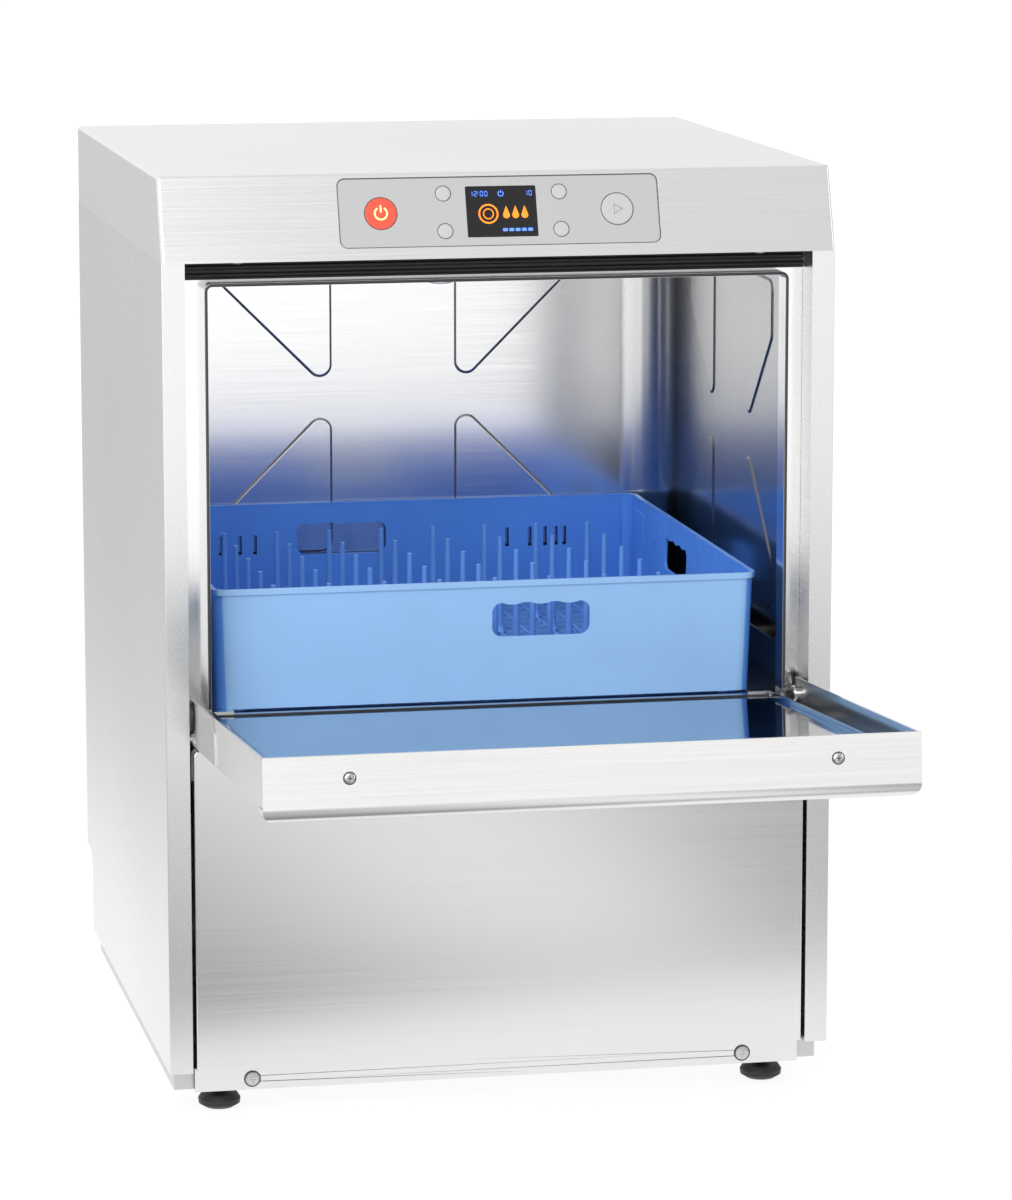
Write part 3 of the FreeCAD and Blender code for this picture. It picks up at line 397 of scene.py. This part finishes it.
def mesh_from(bm, name, smooth_angle=35):
    """Mesh whose edges are sharp where the faces turn by more than an angle in degrees."""
    bmesh.ops.recalc_face_normals(bm, faces=bm.faces)
    for face in bm.faces:
        face.smooth = True
    for edge in bm.edges:
        edge.smooth = len(edge.link_faces) == 2 and edge.calc_face_angle(0) < math.radians(smooth_angle)
    mesh = bpy.data.meshes.new(name)
    bm.to_mesh(mesh)
    bm.free()
    return mesh


def prism(bm, outline, low, high, place):
    """Closed prism over a flat outline, put in place by a function of (x, u, z)."""
    bottom = [bm.verts.new(place(x, u, low)) for x, u in outline]
    top = [bm.verts.new(place(x, u, high)) for x, u in outline]
    bm.faces.new(top)
    bm.faces.new(list(reversed(bottom)))
    for i in range(len(outline)):
        j = (i + 1) % len(outline)
        bm.faces.new((bottom[i], bottom[j], top[j], top[i]))


def arc(centre, radius, start, sweep, steps):
    """Points along an arc, angles in degrees."""
    angles = [math.radians(start + sweep * i / steps) for i in range(steps + 1)]
    return [(centre[0] + radius * math.cos(a), centre[1] + radius * math.sin(a)) for a in angles]


def band(centre, inner, outer, start, sweep, steps):
    """Outline of an arc-shaped band, angles in degrees."""
    return arc(centre, outer, start, sweep, steps) + arc(centre, inner, start, sweep, steps)[::-1]


def ring(bm, centre, inner, outer, low, high, place, steps=96):
    """Closed ring of rectangular section."""
    loops = []
    for radius, z in ((inner, low), (outer, low), (outer, high), (inner, high)):
        loops.append([bm.verts.new(place(x, u, z)) for x, u in arc(centre, radius, 0, 360, steps)[:-1]])
    for k in range(4):
        a, b = loops[k], loops[(k + 1) % 4]
        for i in range(steps):
            j = (i + 1) % steps
            bm.faces.new((a[i], a[j], b[j], b[i]))


def rounded_outline(x0, x1, u0, u1, radius, steps=8):
    """Rectangle with rounded corners, going round anticlockwise."""
    points = []
    for cx, cu, start in ((x1 - radius, u0 + radius, -90), (x1 - radius, u1 - radius, 0),
                          (x0 + radius, u1 - radius, 90), (x0 + radius, u0 + radius, 180)):
        points += arc((cx, cu), radius, start, 90, steps)
    return points


# ------------------------------------------------------------------ control strip graphics

HOOD_LO, HOOD_HI = box_of("hood_cover")
SLOPE_RUN = 26.3 * MM
SLOPE_RISE = HOOD_HI.z - HOOD_LO.z
SLOPE_LENGTH = math.hypot(SLOPE_RUN, SLOPE_RISE)
FILM = -0.8        # the strip's face, below the hood's face, millimetres
GLASS = -0.98      # underside of the lit shapes on the display
INK = 0.1          # thickness of printed and lit shapes


def on_slope(x, u, z):
    """Point on the hood's sloping face: x across, u up the slope, z out of it, millimetres."""
    up = Vector((0, SLOPE_RUN, SLOPE_RISE)) / SLOPE_LENGTH
    out = Vector((0, -SLOPE_RISE, SLOPE_RUN)) / SLOPE_LENGTH
    return Vector((x * MM, HOOD_LO.y, HOOD_LO.z)) + up * (u * MM) + out * (z * MM)


POWER, START = (-105.3, 41.5), (105.3, 41.9)
SMALL = [(x, u) for x in (-49.2, 54.2) for u in (24.7, 58.4)]
BIG_OUTLINE, SMALL_OUTLINE = (14.35, 14.85), (6.8, 7.2)      # radii of the rings round the buttons


def power_symbol(name, centre, radius, weight, z, material, body):
    """Open ring with an upright bar in its gap."""
    bm = bmesh.new()
    prism(bm, band(centre, radius - weight, radius, 122, 296, 40), z, z + 0.12, on_slope)
    half = weight / 2
    x, u = centre
    prism(bm, rounded_outline(x - half, x + half, u + radius * 0.12, u + radius * 1.22, half * 0.9, 4),
          z, z + 0.12, on_slope)
    return finish_piece(name, mesh_from(bm, name), material, body)


def button_outlines():
    # painted shade: dark rings in the gaps round the buttons
    bm = bmesh.new()
    for centre in (POWER, START):
        ring(bm, centre, *BIG_OUTLINE, FILM - 0.1, FILM + 0.05, on_slope)
    for centre in SMALL:
        ring(bm, centre, *SMALL_OUTLINE, FILM - 0.1, FILM + 0.05, on_slope)
    finish_piece("button_outlines", mesh_from(bm, "button_outlines"), "outline", "casing")


def start_symbol():
    """Plain triangle in grey ink, drawn as three strokes that run a little past its corners."""
    x, u = START
    corners = [(-2.8, -4.2), (-2.8, 4.2), (4.4, 0)]
    half_stroke, overrun = 0.35, 0.3
    bm = bmesh.new()
    for a, b in zip(corners, corners[1:] + corners[:1]):
        dx, du = b[0] - a[0], b[1] - a[1]
        n = math.hypot(dx, du)
        ox, ou = -du / n * half_stroke, dx / n * half_stroke
        ex, eu = dx / n * overrun, du / n * overrun
        prism(bm, [(x + a[0] - ex - ox, u + a[1] - eu - ou), (x + b[0] + ex - ox, u + b[1] + eu - ou),
                   (x + b[0] + ex + ox, u + b[1] + eu + ou), (x + a[0] - ex + ox, u + a[1] - eu + ou)],
              -0.32, -0.22, on_slope)
    finish_piece("start_symbol", mesh_from(bm, "start_symbol"), "ink_grey", "start_button")


# bars of each seven-bar digit, lettered from the top bar clockwise, with g across the middle
SEVEN = {"0": "abcdef", "1": "bc", "2": "abged"}
DIGIT, DIGIT_PITCH, DIGIT_U = 4.2, 3.9, 55.6      # height, spacing and foot of the digits
CLOCK_X, COUNTER_X, COLON_GAP = -25.5, 23.4, 1.6
PLATE_AT, DROP_X, DROP_PITCH = (-10.0, 39.5), 6.0, 8.2


def lit(bm, outline):
    prism(bm, outline, GLASS, GLASS + INK, on_slope)


def digit_bars(bm, x, figure):
    """One seven-bar digit."""
    w, t = DIGIT * 0.52, DIGIT * 0.13
    across = {"a": DIGIT, "g": DIGIT / 2, "d": 0.0}
    upright = {"f": (0.0, 0.5), "e": (0.0, 0.0), "b": (1.0, 0.5), "c": (1.0, 0.0)}
    for bar in SEVEN[figure]:
        if bar in across:
            v = DIGIT_U + across[bar]
            lit(bm, rounded_outline(x + t * 0.2, x + w - t * 0.2, v - t / 2, v + t / 2, t * 0.4, 2))
        else:
            side, level = upright[bar]
            v = DIGIT_U + level * DIGIT
            cx = x + side * w
            lit(bm, rounded_outline(cx - t / 2, cx + t / 2,
                                    v + t * 0.3, v + DIGIT / 2 - t * 0.3, t * 0.4, 2))


def display_graphics():
    """Generic lit display: a clock, a counter, a power sign, a plate with drops and a progress bar."""
    bm = bmesh.new()
    for i, figure in enumerate("1200"):
        digit_bars(bm, CLOCK_X + i * DIGIT_PITCH + (COLON_GAP if i > 1 else 0), figure)
    for v in (56.8, 58.8):
        lit(bm, rounded_outline(-18.6, -17.8, v, v + 0.8, 0.35, 3))
    for i, figure in enumerate("10"):
        digit_bars(bm, COUNTER_X + i * DIGIT_PITCH, figure)
    for i in range(5):
        lit(bm, rounded_outline(2.0 + i * 5.6, 6.4 + i * 5.6, 23.6, 26.4, 0.8, 3))
    finish_piece("display_blue", mesh_from(bm, "display_blue"), "glow_blue", "casing")
    power_symbol("display_power", (2.0, 57.6), 2.7, 0.75, GLASS, "glow_blue", "casing")
    bm = bmesh.new()
    for inner, outer in ((7.4, 8.9), (3.9, 4.9)):
        ring(bm, PLATE_AT, inner, outer, GLASS, GLASS + INK, on_slope)
    for i in range(3):
        x = DROP_X + i * DROP_PITCH
        lit(bm, [(x, 46.6)] + arc((x, 38.2), 3.0, 20, -220, 24))
    finish_piece("display_orange", mesh_from(bm, "display_orange"), "glow_orange", "casing")


# ------------------------------------------------------------------ pressed walls of the wash chamber

TANK_LO, TANK_HI = box_of("wash_tank")
WALL = 1.0 * MM
PRESS_R = 12.0            # corner radius of the pressed triangles
PRESS_MID_Z = 571.0
PRESS_IN, PRESS_SPAN, PRESS_LEAN = 61.0, 150.0, 3.0
PRESS_SIDE_CUT, PRESS_SIDE_FORWARD = 157, 14.5      # on the side walls: cut-off, and shift to the front
# inset and lift of the rings that make up a pressed edge, millimetres
PRESS_STEPS = [(0.0, 0.02), (0.2, 0.35), (1.1, 0.9), (2.1, 1.25), (3.0, 1.35)]


def triangle_corners(cut):
    """Corner centres of the pressed triangle in the upper outer quarter: an upright inner side,
    a 45 degree edge that rises outward, a level top. cut is how far out the far corner is cut off."""
    inner = PRESS_IN + PRESS_R
    top = PRESS_LEAN + PRESS_SPAN - PRESS_R

    def lean(x):
        return x - PRESS_IN + PRESS_LEAN + PRESS_R * math.sqrt(2)

    if cut:
        outer = cut - PRESS_R
        return [(inner, lean(inner)), (outer, lean(outer)), (outer, top), (inner, top)]
    return [(inner, lean(inner)), (inner + top - lean(inner), top), (inner, top)]


def rounded_loop(corners, radius, steps=10):
    """Outline at one distance around a convex polygon, going round anticlockwise."""
    points = []
    count = len(corners)
    for i, (x, z) in enumerate(corners):
        before, after = corners[i - 1], corners[(i + 1) % count]
        a0 = math.atan2(z - before[1], x - before[0]) - math.pi / 2
        a1 = math.atan2(after[1] - z, after[0] - x) - math.pi / 2
        turn = (a1 - a0) % (2 * math.pi)
        for k in range(steps + 1):
            a = a0 + turn * k / steps
            points.append((x + radius * math.cos(a), z + radius * math.sin(a)))
    return points


def add_pressing(bm, corners, sx, sz, place):
    """One raised pad whose edge is a narrow crease; the crease gets the second material, a dark steel that
    paints the crease's shade.
    """
    rings = []
    for inset, lift in PRESS_STEPS:
        loop = rounded_loop(corners, PRESS_R - inset)
        rings.append([bm.verts.new(place(sx * x, PRESS_MID_Z + sz * z, lift)) for x, z in loop])
    for n, (low, high) in enumerate(zip(rings, rings[1:])):
        for i in range(len(low)):
            j = (i + 1) % len(low)
            bm.faces.new((low[i], low[j], high[j], high[i])).material_index = 1 if n < 3 else 0
    bm.faces.new(rings[-1])
    bm.faces.new(list(reversed(rings[0])))


def pressings(name, cut, place):
    bm = bmesh.new()
    corners = triangle_corners(cut)
    for sx in (-1, 1):
        for sz in (-1, 1):
            add_pressing(bm, corners, sx, sz, place)
    obj = finish_piece(name, mesh_from(bm, name, 60), "tank", "casing")
    obj.data.materials.append(MATERIALS["crease"])
    round_edges(obj, 0)


def chamber_walls():
    back_y = TANK_HI.y - WALL
    middle = (TANK_LO.y + TANK_HI.y) / 2 - PRESS_SIDE_FORWARD * MM
    pressings("back_wall_pressing", 0, lambda x, z, lift: Vector((x * MM, back_y - lift * MM, z * MM)))
    for side, name in ((-1, "left_wall_pressing"), (1, "right_wall_pressing")):
        wall_x = side * (TANK_HI.x - WALL)
        pressings(name, PRESS_SIDE_CUT, lambda y, z, lift, wall_x=wall_x, side=side:
                  Vector((wall_x - side * lift * MM, middle + y * MM, z * MM)))


# ------------------------------------------------------------------ trims, seams and screws

FRONT_Y = -108.2          # the front flanges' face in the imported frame, millimetres
LIP_FRONT = box_of("front_frame")[0].y / MM
HEM_X, HEM_HEIGHTS, HEM_R = 259.5, (368.0, 420.0, 600.0, 736.0), 5.5      # middle line of the hem
SEAM_Y, SEAM_HALF, SEAM_X = (3, 599), 0.5, (299.0, 299.75)


def strip_along(bm, path, half_width, height, place, closed=False):
    """Low half-round bead along a flat path."""
    section = [(-1.0, 0.0), (-0.75, 0.7), (0.0, 1.0), (0.75, 0.7), (1.0, 0.0)]
    count = len(path)
    rows = []
    for i, (x, z) in enumerate(path):
        before = path[i - 1] if closed or i else path[0]
        after = path[(i + 1) % count] if closed or i < count - 1 else path[-1]
        dx, dz = after[0] - before[0], after[1] - before[1]
        length = math.hypot(dx, dz)
        nx, nz = -dz / length, dx / length
        rows.append([bm.verts.new(place(x + nx * half_width * a, z + nz * half_width * a, height * b))
                     for a, b in section])
    for i in range(count if closed else count - 1):
        low, high = rows[i], rows[(i + 1) % count]
        for k in range(5):
            bm.faces.new((low[k], low[(k + 1) % 5], high[(k + 1) % 5], high[k]))
    if not closed:
        bm.faces.new(rows[0])
        bm.faces.new(rows[-1])


def doorway_hem():
    """Rounded hem on the lip round the doorway, coloured near-black as a painted dark reflection."""
    arch = [(-HEM_X, z) for z in HEM_HEIGHTS]
    arch += arc((HEM_R - HEM_X, HEM_HEIGHTS[-1]), HEM_R, 165, -75, 5)
    path = arch + [(-x, z) for x, z in reversed(arch)]
    bm = bmesh.new()
    strip_along(bm, path, 1.35, 0.5, lambda x, z, lift: Vector((x, LIP_FRONT - lift, z)) * MM)
    finish_piece("doorway_hem", mesh_from(bm, "doorway_hem", 60), "hem", "casing")


def fascia_outline():
    """Painted shade: a dark line in the groove just inside the edge of the control strip."""
    bm = bmesh.new()
    path = rounded_outline(-142.6, 142.6, 10.9, 73.0, 6.6)
    strip_along(bm, path, 0.55, 0.4, lambda x, u, lift: on_slope(x, u, FILM + lift), closed=True)
    mesh = mesh_from(bm, "fascia_outline", 60)
    finish_piece("fascia_outline", mesh, "outline", "casing")


def casing_seams():
    """Shadow gaps between the hood and the side panels."""
    bm = bmesh.new()
    seam_z = HOOD_LO.z / MM
    for side in (-1, 1):
        front, back = (FRONT_Y + y for y in SEAM_Y)
        outline = [(front, seam_z - SEAM_HALF), (back, seam_z - SEAM_HALF),
                   (back, seam_z + SEAM_HALF), (front, seam_z + SEAM_HALF)]
        prism(bm, outline, *SEAM_X, lambda y, z, x, side=side: Vector((side * x, y, z)) * MM)
    finish_piece("casing_seams", mesh_from(bm, "casing_seams"), "rubber", "casing")


def behind_front(x, y, z):
    """Point at y millimetres behind the front flanges."""
    return Vector((x, FRONT_Y + y, z)) * MM


def threshold_strip():
    """Polished strip on the shelf between the open door and the rack, with a front edge in painted shade.
    """
    bm = bmesh.new()
    prism(bm, rounded_outline(-256, 256, 33.7, 57, 0.2, 2), 358.15, 358.4, behind_front)
    finish_piece("threshold_strip", mesh_from(bm, "threshold_strip"), "mirror", "casing")
    bm = bmesh.new()
    prism(bm, rounded_outline(-252, 252, 33.25, 33.7, 0.1, 2), 356.9, 358.42, behind_front)
    finish_piece("threshold_edge", mesh_from(bm, "threshold_edge"), "hem", "casing")


HINGE_AT = (FRONT_Y + 11.3, 361.7)
TILT = math.radians(4.0)
DOOR_LENGTH = 395.3
HEAD_TOP = 1.22                                   # how far the door screws' heads stand out
DOOR_RECESS, SILL_RECESS = (4.65, 5.5), (6.4, 7.6)      # radii of the rings round the screws
CROSS = ((2.1, 0.38), (0.38, 2.1))                # half sizes of the two bars of a cross slot


def on_door(x, b, out):
    """Point on the open door's front face: x across, b up from the hinge line, out of the face."""
    a = -DOOR_LENGTH - out
    return Vector((x, HINGE_AT[0] + a * math.cos(TILT) + b * math.sin(TILT),
                   HINGE_AT[1] - a * math.sin(TILT) + b * math.cos(TILT))) * MM


def on_sill(x, z, lift):
    return behind_front(x, 14.0 - lift, z)


def screw_marks():
    """Painted shadow ring round each screw head, and painted shade in the cross slot of the door screws."""
    bm = bmesh.new()
    for x, u in ((-203.0, -4.3), (203.0, -4.3)):
        ring(bm, (x, u), *DOOR_RECESS, 0.02, 0.14, on_door, 48)
        for w, h in CROSS:
            outline = rounded_outline(x - w, x + w, u - h, u + h, 0.3, 3)
            prism(bm, outline, HEAD_TOP, HEAD_TOP + 0.08, on_door)
    finish_piece("door_screw_marks", mesh_from(bm, "door_screw_marks"), "hem", "door")
    bm = bmesh.new()
    for x in (-224.5, 224.5):
        ring(bm, (x, 31.5), *SILL_RECESS, 0.02, 0.2, on_sill, 48)
    finish_piece("sill_screw_marks", mesh_from(bm, "sill_screw_marks"), "hem", "casing")


# ------------------------------------------------------------------ rack corners and rear louvres

PAD_X, PAD_BELOW_RIM, PAD_INSET = (184, 232), (94, 13), 4.2
LOUVRE_X, LOUVRE_ROWS, LOUVRE_Z, LOUVRE_PITCH = (-150.0, 150.0), 9, 560.0, 15.0

def rack_pads():
    """Reinforcing pads inside the rack's corners, two to a corner."""
    centre = (RACK_LO + RACK_HI) / 2 / MM
    half = (RACK_HI.x - RACK_LO.x) / 2 / MM
    top = RACK_HI.z / MM
    bm = bmesh.new()
    for turn in range(4):
        c, s = round(math.cos(turn * math.pi / 2)), round(math.sin(turn * math.pi / 2))

        def place(t, z, lift, c=c, s=s):
            reach = half - PAD_INSET - RACK_DRAFT * (top - z) - lift
            return Vector((centre.x + t * c + reach * s, centre.y + t * s - reach * c, z)) * MM

        for side in (-1, 1):
            outline = rounded_outline(*PAD_X, *(top - b for b in PAD_BELOW_RIM), 5)
            outline = outline if side > 0 else [(-x, z) for x, z in reversed(outline)]
            prism(bm, outline, -0.3, 0.9, place)
    obj = finish_piece("rack_pads", mesh_from(bm, "rack_pads", 20), "rack_shell", "rack")
    round_edges(obj, 0.35)


def rear_louvres():
    """Two blocks of shallow pressed louvres high on the rear panel, with painted shade in the slots under
    them.
    """
    wall = box_of("rear_panel")[1].y / MM

    def place(x, z, lift):
        return Vector((x, wall + lift, z)) * MM

    hoods, slots = bmesh.new(), bmesh.new()
    for x in LOUVRE_X:
        for i in range(LOUVRE_ROWS):
            z = LOUVRE_Z + LOUVRE_PITCH * i
            prism(hoods, rounded_outline(x - 42, x + 42, z, z + 6.5, 3.0), 0.0, 1.1, place)
            # painted shade: a dark strip in each louvre's opening
            prism(slots, rounded_outline(x - 39, x + 39, z - 2.2, z + 0.4, 1.1), 0.0, 0.25, place)
    mesh = mesh_from(hoods, "louvre_hoods", 20)
    round_edges(finish_piece("louvre_hoods", mesh, "side", "casing"), 0.8)
    finish_piece("louvre_slots", mesh_from(slots, "louvre_slots"), "rubber", "casing")


# ------------------------------------------------------------------ stage

# brightness of the floor from left to right, in metres: just in front of the door, and further out
NEAR_GLOW = [(-0.25, 0.30), (0.2, 0.84), (0.55, 0.24)]
MIDDLE_GLOW = [(-0.4, 0.95), (0.15, 0.90), (0.40, 0.62), (0.70, 0.0), (0.95, 0.35), (1.25, 1.0)]
FAR_GLOW = 1.15


def floor_glow(graph):
    """Brightness of the floor. Beyond a line across the camera's view it looks white in the main
    picture. Nearer than that it is out of the picture, and only shapes what the steel mirrors."""
    x, y, _ = graph.axes("Object")
    east, north = graph.op("SUBTRACT", x, CAMERA_AT.x), graph.op("SUBTRACT", y, CAMERA_AT.y)
    sine, cosine = math.sin(CAMERA_YAW), math.cos(CAMERA_YAW)
    ahead = graph.op("ADD", graph.op("MULTIPLY", east, sine), graph.op("MULTIPLY", north, cosine))
    aside = graph.op("SUBTRACT", graph.op("MULTIPLY", east, cosine), graph.op("MULTIPLY", north, sine))
    half = graph.op("MULTIPLY_ADD", ahead, 0.1, 0.03)
    beside = graph.op("DIVIDE", graph.op("ABSOLUTE", aside), half)
    behind = graph.fade(beside, 1.04, 1.7, 0.88, 0.48)
    near = graph.op("MULTIPLY", graph.steps(x, NEAR_GLOW), graph.fade(y, -0.8, -0.5, 1.0, 0.35))
    front = graph.mix(graph.fade(y, -2.1, -1.5), graph.steps(x, MIDDLE_GLOW), near)
    front = graph.mix(graph.fade(y, -3.2, -2.85), FAR_GLOW, front)
    return graph.mix(graph.fade(ahead, 3.98, 4.07), front, behind)


def make_floor():
    """Sheet of lit white paper under the machine."""
    bm = bmesh.new()
    bmesh.ops.create_grid(bm, x_segments=8, y_segments=8, size=45.0)
    mesh = mesh_from(bm, "floor")
    m = Mat("floor_paper", (0.16, 0.16, 0.16), roughness=0.8)
    m.bsdf.inputs["Specular IOR Level"].default_value = 0.1
    m.shade(m.noise((0.8, 0.8, 0.8), detail=1.0), 0.985, 1.01)
    m.bsdf.inputs["Emission Color"].default_value = (1, 1, 1, 1)
    m.tree.links.new(floor_glow(Graph(m.tree)), m.bsdf.inputs["Emission Strength"])
    mesh.materials.append(m.mat)
    floor = bpy.data.objects.new("floor", mesh)
    floor.location.z = -0.0006
    bpy.context.scene.collection.objects.link(floor)


make_camera()
make_world()
make_lights()
make_floor()
dress_nodes()
button_outlines()
power_symbol("power_symbol", POWER, 6.2, 1.5, -0.31, "glow_yellow", "power_button")
start_symbol()
display_graphics()
chamber_walls()
doorway_hem()
fascia_outline()
casing_seams()
threshold_strip()
screw_marks()
rack_pads()
rear_louvres()
bpy.context.scene.view_settings.view_transform = "Standard"
